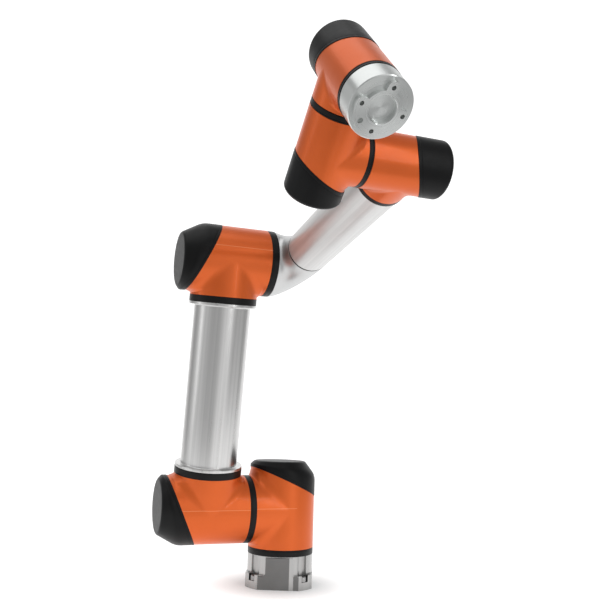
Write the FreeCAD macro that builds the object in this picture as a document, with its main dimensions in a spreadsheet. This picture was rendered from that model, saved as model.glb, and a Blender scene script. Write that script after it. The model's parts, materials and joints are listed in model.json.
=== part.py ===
import FreeCAD, Part
import math
import os

V = FreeCAD.Vector
doc = FreeCAD.newDocument("cobot_arm")

# ------------------------------------------------------------------ dimensions
# every length in mm; one sheet drives every sub-part
sheet = doc.addObject("Spreadsheet::Sheet", "dims")
DIMS = [
    # big joint modules (base, shoulder, elbow) and small ones (wrist)
    ("bigRadius", 54.5), ("bigBranchRadius", 54.3), ("bigBranchEnd", 60.2), ("bigWall", 4.0), ("bigBlend", 12.0),
    ("smallRadius", 36.5), ("smallBranchRadius", 36.3), ("smallBranchEnd", 39.8), ("smallWall", 3.0), ("smallBlend", 8.0),
    ("endWall", 8.0), ("coverProud", 0.6), ("coverWall", 3.4), ("turnGap", 0.3), ("fitGap", 0.15),
    # links
    ("axisHeight", 121.8), ("shoulderOffset", 133.3), ("upperLength", 408.0), ("elbowOffset", 114.0),
    ("foreLength", 376.0), ("wristOffset", 95.8), ("wristLength", 101.8), ("flangeReach", 94.0),
    # seal rings: near (own housing) and far (neighbour) distances from the joint centre
    ("ringNearA", 60.5), ("ringFarA", 70.8), ("ringNearB", 62.7), ("ringFarB", 73.1),
    ("ringNearC", 61.1), ("ringFarC", 72.8), ("ringNearD", 49.3), ("ringFarD", 56.0),
    ("ringNearE", 53.9), ("ringFarE", 61.3), ("ringNearF", 56.0), ("ringFarF", 61.5),
    # covers: long and short side of the slanted split, of the bevel, end distance, end disc
    ("splitLongA", 68.5), ("splitShortA", 20.5), ("bevelLongA", 73.0), ("bevelShortA", 56.0), ("endA", 79.0),
    ("splitLongB", 65.0), ("splitShortB", 15.0), ("bevelLongB", 73.0), ("bevelShortB", 45.5), ("endB", 78.0),
    ("splitLongD", 44.5), ("splitShortD", 8.0), ("bevelLongD", 56.5), ("bevelShortD", 55.5), ("endD", 59.5),
    ("splitLongF", 42.0), ("splitShortF", 6.0), ("bevelLongF", 56.5), ("bevelShortF", 55.5), ("endF", 59.5),
    ("splitLongG", 40.5), ("splitShortG", 4.5), ("bevelLongG", 56.5), ("bevelShortG", 55.5), ("endG", 59.5),
    ("bigDisc", 43.0), ("bigDiscShift", 6.0), ("smallDisc", 34.0), ("smallDiscShift", 0.5),
    # tubes
    ("tubeRadius", 45.5), ("tubeWall", 4.0), ("tubeFlange", 54.2), ("tubeFlangeThick", 4.5),
    ("tubeRingLow", 71.3), ("tubeRingHigh", 70.9), ("foreRadius", 35.1), ("foreWall", 3.2),
    ("foreRing", 47.4), ("elbowEnd", 76.2), ("gasketThick", 1.2), ("gasketRadius", 34.1),
    # pedestal
    ("columnRadius", 54.0), ("columnTop", 51.0), ("footRadius", 61.0), ("footTop", 22.0), ("footHalf", 54.5),
    ("flatFront", 51.0), ("coreRadius", 40.0), ("pocketRadius", 9.5), ("boltCircle", 54.0), ("boltHole", 4.5),
    ("boltSeat", 12.0), ("pedestalRoof", 43.0),
    # tool flange
    ("toolRadius", 36.0), ("toolPilot", 15.75), ("toolPilotDepth", 6.5), ("toolCircle", 25.0), ("toolTap", 2.5),
    ("toolTapDepth", 12.0), ("toolDowel", 3.0), ("toolStep", 89.2), ("toolCore", 20.8), ("toolLobe", 6.6), ("toolLand", 31.6),
    ("toolTurn", 82.0),
]
VAL = {}
for row, (alias, value) in enumerate(DIMS, start=1):
    sheet.set("A%d" % row, alias)
    sheet.set("B%d" % row, repr(float(value)))
    sheet.setAlias("B%d" % row, alias)
    VAL[alias] = float(value)
doc.recompute()


class E:
    """A number together with the sheet expression that gives it."""
    def __init__(self, value, text):
        self.v = float(value)
        self.t = text
    @staticmethod
    def of(x):
        return x if isinstance(x, E) else E(x, repr(float(x)) if x >= 0 else "(%r)" % float(x))
    def _op(self, other, sign, flip=False):
        a, b = (E.of(other), self) if flip else (self, E.of(other))
        value = {"+": a.v + b.v, "-": a.v - b.v, "*": a.v * b.v, "/": (a.v / b.v if b.v else 0.0)}[sign]
        return E(value, "(%s %s %s)" % (a.t, sign, b.t))
    def __add__(self, o): return self._op(o, "+")
    def __radd__(self, o): return self._op(o, "+", True)
    def __sub__(self, o): return self._op(o, "-")
    def __rsub__(self, o): return self._op(o, "-", True)
    def __mul__(self, o): return self._op(o, "*")
    def __rmul__(self, o): return self._op(o, "*", True)
    def __truediv__(self, o): return self._op(o, "/")
    def __neg__(self): return E(-self.v, "(0 - %s)" % self.t)


def d(alias):
    return E(VAL[alias], "dims." + alias)


def num(x):
    return x.v if isinstance(x, E) else float(x)


def bind(obj, prop, x):
    if isinstance(x, E):
        obj.setExpression(prop, x.t)


# ------------------------------------------------------------------- placement
def frame(origin, z, x):
    z = V(z); z.normalize()
    x = V(x) - z * V(x).dot(z); x.normalize()
    y = z.cross(x)
    m = FreeCAD.Matrix(x.x, y.x, z.x, origin.x, x.y, y.y, z.y, origin.y, x.z, y.z, z.z, origin.z, 0, 0, 0, 1)
    return FreeCAD.Placement(m)


TURN = math.radians(22.0)            # first joint's rest angle
T2, T3, T5, P6 = 0.17195, 1.40616, 0.83832, -1.52819
def turned(x, y, z):
    return V(x * math.cos(TURN) - y * math.sin(TURN), x * math.sin(TURN) + y * math.cos(TURN), z)
AX = turned(1, 0, 0)
D2 = turned(0, -math.sin(T2), math.cos(T2))
D3 = turned(0, -math.sin(T3), math.cos(T3))
D5 = turned(0, -math.sin(T5), math.cos(T5))
N5 = turned(0, -math.cos(T5), -math.sin(T5))
D6 = AX * math.cos(P6) * 1.0 + N5 * (-math.sin(P6))
Z = V(0, 0, 1)
C1 = V(0, 0, VAL["axisHeight"])
C2 = C1 - AX * VAL["shoulderOffset"]
C3 = C2 + D2 * VAL["upperLength"]
CF = C3 + AX * VAL["elbowOffset"]
C4 = CF + D3 * VAL["foreLength"]
C5 = C4 - AX * VAL["wristOffset"]
C6 = C5 + D5 * VAL["wristLength"]
JOINT = {
    1: frame(C1, -Z, -AX), 2: frame(C2, AX, D2), 3: frame(C3, AX, -D2),
    4: frame(C4, -AX, -D3), 5: frame(C5, D5, AX), 6: frame(C6, D6, -D5),
}
WORLD = FreeCAD.Placement()
nodes = {}


def keep(name, obj, place):
    obj.Label = name
    obj.Placement = place
    nodes[name] = obj
    return obj


# --------------------------------------------------------------------- helpers
def draw(sk, pts):
    """Closed outline through pts, each corner held by two sheet-driven distances."""
    n = len(pts)
    for i in range(n):
        a, b = pts[i], pts[(i + 1) % n]
        sk.addGeometry(Part.LineSegment(V(num(a[0]), num(a[1]), 0), V(num(b[0]), num(b[1]), 0)), False)
    import_constraint(sk, pts)


def import_constraint(sk, pts):
    import Sketcher
    n = len(pts)
    for i in range(n):
        sk.addConstraint(Sketcher.Constraint("Coincident", i, 2, (i + 1) % n, 1))
    for i, (px, py) in enumerate(pts):
        k = sk.addConstraint(Sketcher.Constraint("DistanceX", -1, 1, i, 1, num(px)))
        if isinstance(px, E):
            sk.setExpression("Constraints[%d]" % k, px.t)
        k = sk.addConstraint(Sketcher.Constraint("DistanceY", -1, 1, i, 1, num(py)))
        if isinstance(py, E):
            sk.setExpression("Constraints[%d]" % k, py.t)


def plane_of(body, role):
    for o in body.Origin.OriginFeatures:
        if o.Role == role:
            return o


def turned_body(name, pts, place):
    """Body turned about its own Z axis from an (r, z) outline."""
    body = doc.addObject("PartDesign::Body", name)
    sk = body.newObject("Sketcher::SketchObject", name + "_outline")
    sk.AttachmentSupport = [(plane_of(body, "XZ_Plane"), "")]
    sk.MapMode = "FlatFace"
    draw(sk, pts)
    rev = body.newObject("PartDesign::Revolution", name + "_turn")
    rev.Profile = sk
    rev.ReferenceAxis = (sk, ["V_Axis"])
    rev.Angle = 360.0
    sk.Visibility = False
    body.Tip = rev
    keep(name, body, place)
    return body


def cyl(name, r, h, at=(0, 0, 0), axis="z", flip=False):
    """Part cylinder of radius r and length h from point at along the given axis."""
    o = doc.addObject("Part::Cylinder", name)
    o.Radius = num(r); o.Height = num(h)
    bind(o, "Radius", r); bind(o, "Height", h)
    rot = {"z": FreeCAD.Rotation(), "x": FreeCAD.Rotation(V(0, 1, 0), 90), "y": FreeCAD.Rotation(V(1, 0, 0), -90)}[axis]
    if flip:
        rot = FreeCAD.Rotation({"z": V(1, 0, 0), "x": V(0, 0, 1), "y": V(0, 0, 1)}[axis], 180) * rot
    o.Placement = FreeCAD.Placement(V(*[num(c) for c in at]), rot)
    for c, letter in zip(at, "xyz"):
        if isinstance(c, E):
            o.setExpression("Placement.Base." + letter, c.t)
    return o


def box(name, size, at, rot=None):
    o = doc.addObject("Part::Box", name)
    for prop, s in zip(("Length", "Width", "Height"), size):
        setattr(o, prop, num(s)); bind(o, prop, s)
    o.Placement = FreeCAD.Placement(V(*[num(c) for c in at]), rot or FreeCAD.Rotation())
    for c, letter in zip(at, "xyz"):
        if isinstance(c, E):
            o.setExpression("Placement.Base." + letter, c.t)
    return o


def prism(name, pts, half):
    """Solid with the (x, z) outline, reaching half a width to either side in y."""
    sk = doc.addObject("Sketcher::SketchObject", name + "_outline")
    sk.Placement = FreeCAD.Placement(V(0, 0, 0), FreeCAD.Rotation(V(1, 0, 0), 90))
    draw(sk, pts)
    ex = doc.addObject("Part::Extrusion", name)
    ex.Base = sk
    ex.DirMode = "Normal"
    ex.LengthFwd = num(half)
    ex.LengthRev = num(half)
    bind(ex, "LengthFwd", E.of(half)); bind(ex, "LengthRev", E.of(half))
    ex.Solid = True
    return ex


def fuse(name, shapes):
    o = doc.addObject("Part::MultiFuse", name)
    o.Shapes = shapes
    o.Refine = True
    return o


def cut(name, base, tools):
    tool = tools[0] if len(tools) == 1 else fuse(name + "_tools", tools)
    o = doc.addObject("Part::Cut", name)
    o.Base = base
    o.Tool = tool
    return o


def below_plane(name, radius, long_side, short_side, reach=160):
    """Everything past the slanted plane: -long_side at x=+radius, -short_side at x=-radius."""
    mid = (long_side + short_side) / 2
    diff = (long_side - short_side) / 2
    steep = diff * 1.5
    return prism(name, [(radius * 1.5, -(mid + steep)), (radius * 1.5, -E.of(reach)), (-(radius * 1.5), -E.of(reach)),
                        (-(radius * 1.5), -(mid - steep))], 90)


def slant_ellipse(name, radius, long_side, short_side, lift=0.0):
    """The slanted cut of a cylinder as an ellipse."""
    o = doc.addObject("Part::Ellipse", name)
    half = (num(long_side) - num(short_side)) / 2
    o.MajorRadius = math.hypot(num(radius), half)
    o.MinorRadius = num(radius)
    r, a, b = E.of(radius), E.of(long_side), E.of(short_side)
    o.setExpression("MajorRadius", "sqrt(%s * %s + %s * %s / 4)" % (r.t, r.t, (a - b).t, (a - b).t))
    o.setExpression("MinorRadius", r.t)
    ang = math.atan2(half, num(radius))
    o.Placement = FreeCAD.Placement(V(0, 0, -(num(a) + num(b)) / 2 + lift), FreeCAD.Rotation(V(0, 1, 0), math.degrees(ang)))
    return o


def disc_edge(name, radius, shift, depth):
    o = doc.addObject("Part::Circle", name)
    o.Radius = num(radius)
    bind(o, "Radius", E.of(radius))
    o.Placement = FreeCAD.Placement(V(num(shift), 0, -num(depth)), FreeCAD.Rotation())
    return o


def loft(name, sections, ruled):
    o = doc.addObject("Part::Loft", name)
    o.Sections = sections
    o.Solid = True
    o.Ruled = ruled
    return o


# --------------------------------------------------------------- joint modules
def module(tag, n, size, near, far, cover, floor_hole, hub=True):
    """One rotary joint: cast housing with a side branch, slanted cover, drive parts."""
    place = JOINT[n]
    big = size == "big"
    R, RB, BE = d(size + "Radius"), d(size + "BranchRadius"), d(size + "BranchEnd")
    wall, blend = d(size + "Wall"), d(size + "Blend")
    sl, ss, bl, bs, ce = [d(k + cover) for k in ("splitLong", "splitShort", "bevelLong", "bevelShort", "end")]
    k = 1.0 if big else 0.67
    bore = R - wall
    # housing -------------------------------------------------------------
    barrel = cyl(tag + "_barrel", R, 220, (0, 0, -110))
    branch = cyl(tag + "_branch", RB, BE, (0, 0, 0), "x")
    tee = fuse(tag + "_tee", [barrel, branch])
    doc.recompute()
    edges = []
    for i, e in enumerate(tee.Shape.Edges, start=1):
        c = e.BoundBox
        curved = not (hasattr(e.Curve, "Radius") or e.Curve.TypeId == "Part::GeomLine")
        if curved and c.XMax < num(RB) + 2:
            edges.append(i)
    body = tee
    if edges:
        fil = doc.addObject("Part::Fillet", tag + "_blend")
        fil.Base = tee
        fil.Edges = [(i, num(blend), num(blend)) for i in edges]
        doc.recompute()
        if fil.Shape.isNull() or not fil.Shape.isValid() or "Invalid" in fil.State:
            doc.removeObject(fil.Name)
            print("no blend on", tag, edges, [(round(x.BoundBox.XMin, 2), round(x.BoundBox.XMax, 2), x.Curve.TypeId) for x in tee.Shape.Edges])
            doc.recompute()
        else:
            body = fil
    hollow = cyl(tag + "_bore", bore, near + sl + 20, (0, 0, -sl - 10))
    side = cyl(tag + "_side_bore", RB - wall, BE - d("endWall"), (0, 0, 0), "x")
    wire = cyl(tag + "_wire_hole", floor_hole, 40, (BE - 30, 0, 0), "x")
    past = below_plane(tag + "_split", R, sl, ss)
    mouth = box(tag + "_mouth", (300, 300, 100), (-150, -150, near - d("turnGap")))
    housing = cut(tag + "_housing", body, [hollow, side, wire, past, mouth])
    keep(tag + "_housing", housing, place)
    # cover ---------------------------------------------------------------
    CR = R + d("coverProud")
    disc, shift = d(size + "Disc"), d(size + "DiscShift")
    def at_radius(r, long_side, short_side):
        mid, half = (long_side + short_side) / 2, (long_side - short_side) / 2
        return mid + half * (E.of(r) / R), mid - half * (E.of(r) / R)
    l1, s1 = at_radius(CR, sl, ss)
    l2, s2 = at_radius(CR, bl, bs)
    outer = loft(tag + "_cover_outer", [slant_ellipse(tag + "_ca", CR, l1, s1), slant_ellipse(tag + "_cb", CR, l2, s2),
                                        disc_edge(tag + "_cc", disc, shift, ce)], True)
    IR = CR - d("coverWall")
    l3, s3 = at_radius(IR, sl, ss)
    l4, s4 = at_radius(IR, bl - 2.5 * k, bs - 2.5 * k)
    inner = loft(tag + "_cover_inner", [slant_ellipse(tag + "_cd", IR, l3, s3, 3.0), slant_ellipse(tag + "_ce", IR, l4, s4),
                                        disc_edge(tag + "_cf", disc - 1.5 * k, shift, ce - 3.0)], True)
    cover_cut = cut(tag + "_cover", outer, [inner])
    keep(tag + "_cover", cover_cut, place)
    # seal ring (rides on the neighbour) -----------------------------------
    lip = 0.8 * k
    turned_body(tag + "_seal_ring", [(R - 7.5 * k, near), (R - lip, near), (R - 0.1, near + lip), (R - 0.1, far - lip),
                                     (R - lip, far), (R - 7.5 * k, far)], place)
    # drive parts -----------------------------------------------------------
    fit = bore - d("fitGap")
    # fixed gear ring with the bearing seat
    turned_body(tag + "_gear_ring", [(34.2 * k, 17 * k), (fit, 17 * k), (fit, near - 8 * k), (45.2 * k, near - 8 * k),
                                     (45.2 * k, 37.5 * k), (34.2 * k, 37.5 * k)], place)
    # output hub: thin toothed cup plus bearing flange
    if hub:
        turned_body(tag + "_output_hub", [(31.0 * k, 20 * k), (33.4 * k, 20 * k), (33.4 * k, 39.5 * k), (44.4 * k, 39.5 * k),
                                          (44.4 * k, far), (13.0 * k, far), (13.0 * k, 43 * k), (31.0 * k, 43 * k)], place)
    # motor stator: laminated core with winding heads
    turned_body(tag + "_motor_stator", [(31.5 * k, -18 * k), (34 * k, -18 * k), (34 * k, -26 * k), (43 * k, -26 * k),
                                        (43 * k, -18 * k), (fit, -18 * k), (fit, 2 * k), (43 * k, 2 * k), (43 * k, 10 * k),
                                        (34 * k, 10 * k), (34 * k, 2 * k), (31.5 * k, 2 * k)], place)
    # rotor with hollow shaft and the cam that drives the thin cup
    turned_body(tag + "_motor_rotor", [(10 * k, -34 * k), (14 * k, -34 * k), (14 * k, -22 * k), (30.6 * k, -22 * k),
                                       (30.6 * k, 6 * k), (16 * k, 6 * k), (16 * k, 22 * k), (29.5 * k, 22 * k),
                                       (29.5 * k, 33 * k), (10 * k, 33 * k)], place)
    # drive board on three posts behind the stator
    plate = cyl(tag + "_plate", 37.0 * k, 1.6, (0, 0, -41 * k))
    parts = [plate]
    for q in range(3):
        a = math.radians(90 + 120 * q)
        parts.append(cyl("%s_post%d" % (tag, q), 2.2, 41 * k - 26 * k, (35.0 * k * math.cos(a), 35.0 * k * math.sin(a), -41 * k)))
    for q, (cx, cy, w, h, t) in enumerate([(-26, -9, 14, 18, 3.5), (15, -12, 11, 24, 5.0), (-8, 16, 16, 10, 4.0), (-7, -28, 14, 9, 3.0)]):
        parts.append(box("%s_chip%d" % (tag, q), (w * k, h * k, t * k), (cx * k, cy * k, (-41 - t) * k)))
    board = cut(tag + "_drive_board", fuse(tag + "_board_all", parts), [cyl(tag + "_board_hole", 8 * k, 30, (0, 0, -60 * k))])
    keep(tag + "_drive_board", board, place)


module("j1", 1, "big", d("ringNearA"), d("ringFarA"), "A", 13.0)
module("j2", 2, "big", d("ringNearB"), d("ringFarB"), "B", 13.0)
module("j3", 3, "big", d("ringNearC"), d("ringFarC"), "B", 13.0)
module("j4", 4, "small", d("ringNearD"), d("ringFarD"), "D", 8.7)
module("j5", 5, "small", d("ringNearE"), d("ringFarE"), "F", 8.7)
module("j6", 6, "small", d("ringNearF"), d("ringFarF"), "G", 8.7, hub=False)

# ---------------------------------------------------------------------- base
col = cyl("col", d("columnRadius"), d("columnTop"))
foot_round = cyl("foot_round", d("footRadius"), d("footTop"))
foot_square = box("foot_square", (d("footHalf") * 2, d("footHalf") * 2, d("footTop")), (-d("footHalf"), -d("footHalf"), 0))
foot = doc.addObject("Part::MultiCommon", "foot")
foot.Shapes = [foot_round, foot_square]
pedestal_all = fuse("pedestal_all", [col, foot])
tools = [cyl("core", d("coreRadius"), d("pedestalRoof"), (0, 0, 0)),
         cyl("roof_hole", 13.0, 60, (0, 0, 0)),
         box("front_flat", (140, 40, 70), (-70, -d("flatFront") - 40, -5)),
         box("rear_flat", (140, 40, 70), (-70, d("flatFront"), -5)),
         box("plug_window", (26, 30, 20), (-13, 30, 14))]
for q in range(4):
    a = math.radians(45 + 90 * q)
    ca, sa = math.cos(a), math.sin(a)
    tools.append(cyl("pocket%d" % q, d("pocketRadius"), 60, (d("boltCircle") * ca, d("boltCircle") * sa, d("boltSeat"))))
    tools.append(cyl("bolt%d" % q, d("boltHole"), 40, (d("boltCircle") * ca, d("boltCircle") * sa, -5)))
pedestal = cut("pedestal", pedestal_all, tools)
keep("base_pedestal", pedestal, WORLD)
plug_body = box("plug_body", (25.4, 16, 19.4), (-12.7, 40, 14.3))
plug_plate = box("plug_plate", (33, 2.5, 27), (-16.5, 51, 10.5))
plug_neck = cyl("plug_neck", 8.5, 5, (0, 53.5, 24), "y")
plug_all = fuse("plug_all", [plug_body, plug_plate, plug_neck])
plug_socket = cyl("plug_socket", 6.8, 9, (0, 49.5, 24), "y")
plug = cut("plug", plug_all, [plug_socket])
keep("base_connector", plug, WORLD)

# ------------------------------------------------------------------ upper arm
UP = frame(C2, D2, AX)
turned_body("tube_ring_low", [(d("tubeRadius") - 4, d("bigBranchEnd")), (d("bigRadius") - 0.9, d("bigBranchEnd")),
            (d("bigRadius") - 0.1, d("bigBranchEnd") + 0.8), (d("bigRadius") - 0.1, d("tubeRingLow") - 0.8),
            (d("bigRadius") - 0.9, d("tubeRingLow")), (d("tubeRadius") - 4, d("tubeRingLow"))], UP)
lo, hi = d("tubeRingLow"), d("upperLength") - d("tubeRingHigh")
ti, to, tf, tt = d("tubeRadius") - d("tubeWall"), d("tubeRadius"), d("tubeFlange"), d("tubeFlangeThick")
turned_body("upper_arm_tube", [(ti, lo), (tf - 0.6, lo), (tf, lo + 0.6), (tf, lo + tt - 0.6), (tf - 0.6, lo + tt),
            (to + 1.2, lo + tt), (to, lo + tt + 1.2), (to, hi - tt - 1.2), (to + 1.2, hi - tt), (tf - 0.6, hi - tt),
            (tf, hi - tt + 0.6), (tf, hi - 0.6), (tf - 0.6, hi), (ti, hi)], UP)
top = d("upperLength") - d("bigBranchEnd")
turned_body("tube_ring_high", [(ti, hi), (d("bigRadius") - 0.9, hi), (d("bigRadius") - 0.1, hi + 0.8),
            (d("bigRadius") - 0.1, top - 0.8), (d("bigRadius") - 0.9, top), (ti, top)], UP)

# -------------------------------------------------------------------- forearm
FO = frame(CF, D3, AX)


def elbow_skin(name, inset, over):
    """Sections swinging from the joint ring round to the tube mouth (x = AX, z = D3)."""
    x0 = VAL["ringFarC"] - VAL["elbowOffset"]
    z1 = VAL["elbowEnd"]
    r0, r1 = VAL["bigRadius"] - 0.2, VAL["foreRadius"]
    secs = []
    steps = 4
    for i in range(steps + 1):
        t = 0.5 * math.pi * i / steps
        s, c = math.sin(t), math.cos(t)
        ox, oz = x0 + (r1 - x0) * s ** 0.92, z1 - (z1 + r0) * c ** 0.92
        ix, iz = x0 + (-r1 - x0) * s, z1 - (z1 - r0) * c
        if i == 0:
            ox, ix = x0, x0
        if i == steps:
            oz, iz = z1, z1
        cx, cz = (ox + ix) / 2, (oz + iz) / 2
        length = math.hypot(ox - ix, oz - iz) / 2
        ux, uz = (ox - ix) / (2 * length), (oz - iz) / (2 * length)
        w = r0 + (r1 - r0) * (math.sin(t) ** 1.3)
        a, b = length - inset, w - inset
        if i == 0 and over:
            cx -= over
        if i == steps and over:
            cz += over
        o = doc.addObject("Part::Ellipse", "%s_s%d" % (name, i))
        xdir = V(ux, 0, uz)
        ydir = V(0, 1, 0)
        b = min(b, a - 0.001)
        o.MajorRadius, o.MinorRadius = a, b
        z_ = xdir.cross(ydir)
        m = FreeCAD.Matrix(xdir.x, ydir.x, z_.x, cx, xdir.y, ydir.y, z_.y, 0, xdir.z, ydir.z, z_.z, cz, 0, 0, 0, 1)
        o.Placement = FreeCAD.Placement(m)
        secs.append(o)
    return loft(name, secs, False)


elbow = cut("elbow", elbow_skin("elbow_outer", 0.0, 0.0), [elbow_skin("elbow_inner", 4.0, 1.0)])
keep("elbow_casting", elbow, FO)
g0, g1 = d("elbowEnd"), d("elbowEnd") + d("gasketThick")
fi = d("foreRadius") - d("foreWall")
turned_body("elbow_gasket", [(fi, g0), (d("gasketRadius"), g0), (d("gasketRadius"), g1), (fi, g1)], FO)
f1 = d("foreLength") - d("foreRing")
fr = d("foreRadius")
turned_body("forearm_tube", [(fi, g1), (fr - 0.6, g1), (fr, g1 + 0.6), (fr, f1 - 0.6), (fr - 0.6, f1), (fi, f1)], FO)
f2 = d("foreLength") - d("smallBranchEnd")
turned_body("forearm_ring", [(fi, f1), (d("smallRadius") - 0.7, f1), (d("smallRadius") - 0.1, f1 + 0.6),
            (d("smallRadius") - 0.1, f2 - 0.6), (d("smallRadius") - 0.7, f2), (fi, f2)], FO)

# ---------------------------------------------------------------- tool flange
k = 0.67
face, back, step = d("flangeReach"), d("ringFarF"), d("toolStep")
TR = d("toolRadius")
# stepped disc with a raised land round the pilot
flange_turn_pts = [(31.0 * k, 20 * k), (33.4 * k, 20 * k), (33.4 * k, 39.5 * k), (44.4 * k, 39.5 * k), (44.4 * k, back),
                   (TR - 1.0, back), (TR, back + 1.0), (TR, step - 1.0), (TR - 1.0, step), (d("toolCore"), step),
                   (d("toolCore"), face - 0.4), (d("toolCore") - 0.4, face), (d("toolPilot") + 0.5, face),
                   (d("toolPilot"), face - 0.5), (d("toolPilot"), face - d("toolPilotDepth")), (0, face - d("toolPilotDepth")),
                   (0, 43 * k), (31.0 * k, 43 * k)]
sk = doc.addObject("Sketcher::SketchObject", "flange_outline")
sk.Placement = FreeCAD.Placement(V(0, 0, 0), FreeCAD.Rotation(V(1, 0, 0), 90))
draw(sk, flange_turn_pts)
flange_turn = doc.addObject("Part::Revolution", "flange_turn")
flange_turn.Source = sk
flange_turn.Axis = V(0, 0, 1)
flange_turn.Base = V(0, 0, 0)
flange_turn.Angle = 360.0
flange_turn.Solid = True
tools, lands = [], []
first = VAL["toolTurn"]
for q in range(4):
    a = math.radians(first + 90 * q)
    at = (d("toolCircle") * math.cos(a), d("toolCircle") * math.sin(a))
    tools.append(cyl("tap%d" % q, d("toolTap"), d("toolTapDepth") + 5, at + (face - d("toolTapDepth"),)))
    # a round land under each screw, tied back to the middle
    lands.append(cyl("land%d" % q, d("toolLobe"), face - step + 2, at + (step - 2,)))
    lands.append(box("web%d" % q, (d("toolCircle") - 18, d("toolLobe") * 2, face - step + 2),
                     (18 * math.cos(a) + num(d("toolLobe")) * math.sin(a), 18 * math.sin(a) - num(d("toolLobe")) * math.cos(a), step - 2),
                     FreeCAD.Rotation(V(0, 0, 1), math.degrees(a))))
# one quarter is raised right across, for the locating pin
quarter = cyl("pin_quarter", d("toolLand"), face - step + 2, (0, 0, step - 2))
quarter.Angle = 90.0
quarter.Placement = FreeCAD.Placement(quarter.Placement.Base, FreeCAD.Rotation(V(0, 0, 1), first + 180))
quarter.setExpression("Placement.Base.z", (step - 2).t)
pin = math.radians(first + 225)
tools.append(cyl("dowel", d("toolDowel"), 6.5 + 5, (d("toolCircle") * math.cos(pin), d("toolCircle") * math.sin(pin), face - 6.5)))
tools.append(cyl("pilot", d("toolPilot"), 30, (0, 0, face - d("toolPilotDepth"))))
flange = cut("flange", fuse("flange_solid", [flange_turn, quarter] + lands), tools)
keep("tool_flange", flange, JOINT[6])

doc.recompute()
bad = []
for o in doc.Objects:
    if "Invalid" in o.State or "Error" in o.State:
        bad.append((o.Name, o.State))
for name, o in nodes.items():
    s = o.Shape
    if s.isNull() or not s.isValid() or len(s.Solids) != 1:
        bad.append((name, "shape", s.isNull(), s.isValid() if not s.isNull() else None, len(s.Solids)))
if bad:
    for b in bad:
        print("BAD", b)
    raise SystemExit(1)
os.makedirs("parts", exist_ok=True)
for name, o in nodes.items():
    o.Shape.exportStep("parts/%s.step" % name)
print(len(nodes), "nodes")
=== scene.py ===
import json
import math
import bpy
import bmesh
import numpy as np
from mathutils import Matrix, Vector


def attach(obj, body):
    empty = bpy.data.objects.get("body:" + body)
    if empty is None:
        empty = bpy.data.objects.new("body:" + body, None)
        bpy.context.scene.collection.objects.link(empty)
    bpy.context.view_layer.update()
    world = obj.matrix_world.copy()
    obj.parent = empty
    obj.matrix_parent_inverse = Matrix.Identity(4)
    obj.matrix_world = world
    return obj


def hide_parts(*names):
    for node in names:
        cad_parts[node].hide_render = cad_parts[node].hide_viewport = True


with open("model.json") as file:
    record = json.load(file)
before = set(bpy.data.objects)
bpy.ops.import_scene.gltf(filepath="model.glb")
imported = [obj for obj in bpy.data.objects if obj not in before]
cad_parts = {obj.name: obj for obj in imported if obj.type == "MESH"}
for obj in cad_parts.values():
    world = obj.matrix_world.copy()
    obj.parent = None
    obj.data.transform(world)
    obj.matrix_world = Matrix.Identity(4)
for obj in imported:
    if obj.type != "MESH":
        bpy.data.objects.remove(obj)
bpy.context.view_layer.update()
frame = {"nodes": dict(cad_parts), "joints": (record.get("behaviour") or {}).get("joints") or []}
MM = 0.001

# ----------------------------------------------------------------- the frame
J = {j["name"][:2]: j for j in frame["joints"] if "motor" not in j["name"]}
C = {k: Vector(v["pos_m"]) for k, v in J.items()}
UPZ = Vector((0, 0, 1))
AX = Vector(J["j2"]["axis"]).normalized()
D5 = Vector(J["j5"]["axis"]).normalized()
D6 = Vector(J["j6"]["axis"]).normalized()
D2 = (C["j3"] - C["j2"]).normalized()
CF = C["j3"] + AX * ((C["j4"] - C["j3"]).dot(AX))
D3 = (C["j4"] - CF).normalized()
FORE = (C["j4"] - CF).length / MM
UPPER = (C["j3"] - C["j2"]).length / MM


def axes(origin, z, x):
    z = z.normalized()
    x = (x - z * x.dot(z)).normalized()
    y = z.cross(x)
    m = Matrix.Identity(4)
    for i in range(3):
        m[i][0], m[i][1], m[i][2], m[i][3] = x[i], y[i], z[i], origin[i]
    return m


PLACE = {
    "j1": axes(C["j1"], -UPZ, -AX), "j2": axes(C["j2"], AX, D2), "j3": axes(C["j3"], AX, -D2),
    "j4": axes(C["j4"], -AX, -D3), "j5": axes(C["j5"], D5, AX), "j6": axes(C["j6"], D6, -D5),
    "up": axes(C["j2"], D2, AX), "fore": axes(CF, D3, AX), "base": Matrix.Identity(4),
}

# ----------------------------------------------------------------- materials
MAT = {}


def node(nt, kind, **inputs):
    n = nt.nodes.new(kind)
    for k, v in inputs.items():
        n.inputs[k.replace("_", " ")].default_value = v
    return n


def new_mat(name):
    m = bpy.data.materials.new(name)
    m.use_nodes = True
    nt = m.node_tree
    for n in list(nt.nodes):
        nt.nodes.remove(n)
    out = nt.nodes.new("ShaderNodeOutputMaterial")
    b = nt.nodes.new("ShaderNodeBsdfPrincipled")
    nt.links.new(b.outputs[0], out.inputs[0])
    MAT[name] = m
    return m, nt, b


def coords(nt, scale=(1, 1, 1)):
    tc = nt.nodes.new("ShaderNodeTexCoord")
    mp = nt.nodes.new("ShaderNodeMapping")
    mp.inputs["Scale"].default_value = scale
    nt.links.new(tc.outputs["Object"], mp.inputs["Vector"])
    return mp.outputs["Vector"]


def noise(nt, vec, scale, detail=3.0, rough=0.5):
    n = nt.nodes.new("ShaderNodeTexNoise")
    n.inputs["Scale"].default_value = scale
    n.inputs["Detail"].default_value = detail
    n.inputs["Roughness"].default_value = rough
    nt.links.new(vec, n.inputs["Vector"])
    return n.outputs["Fac"]


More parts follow.
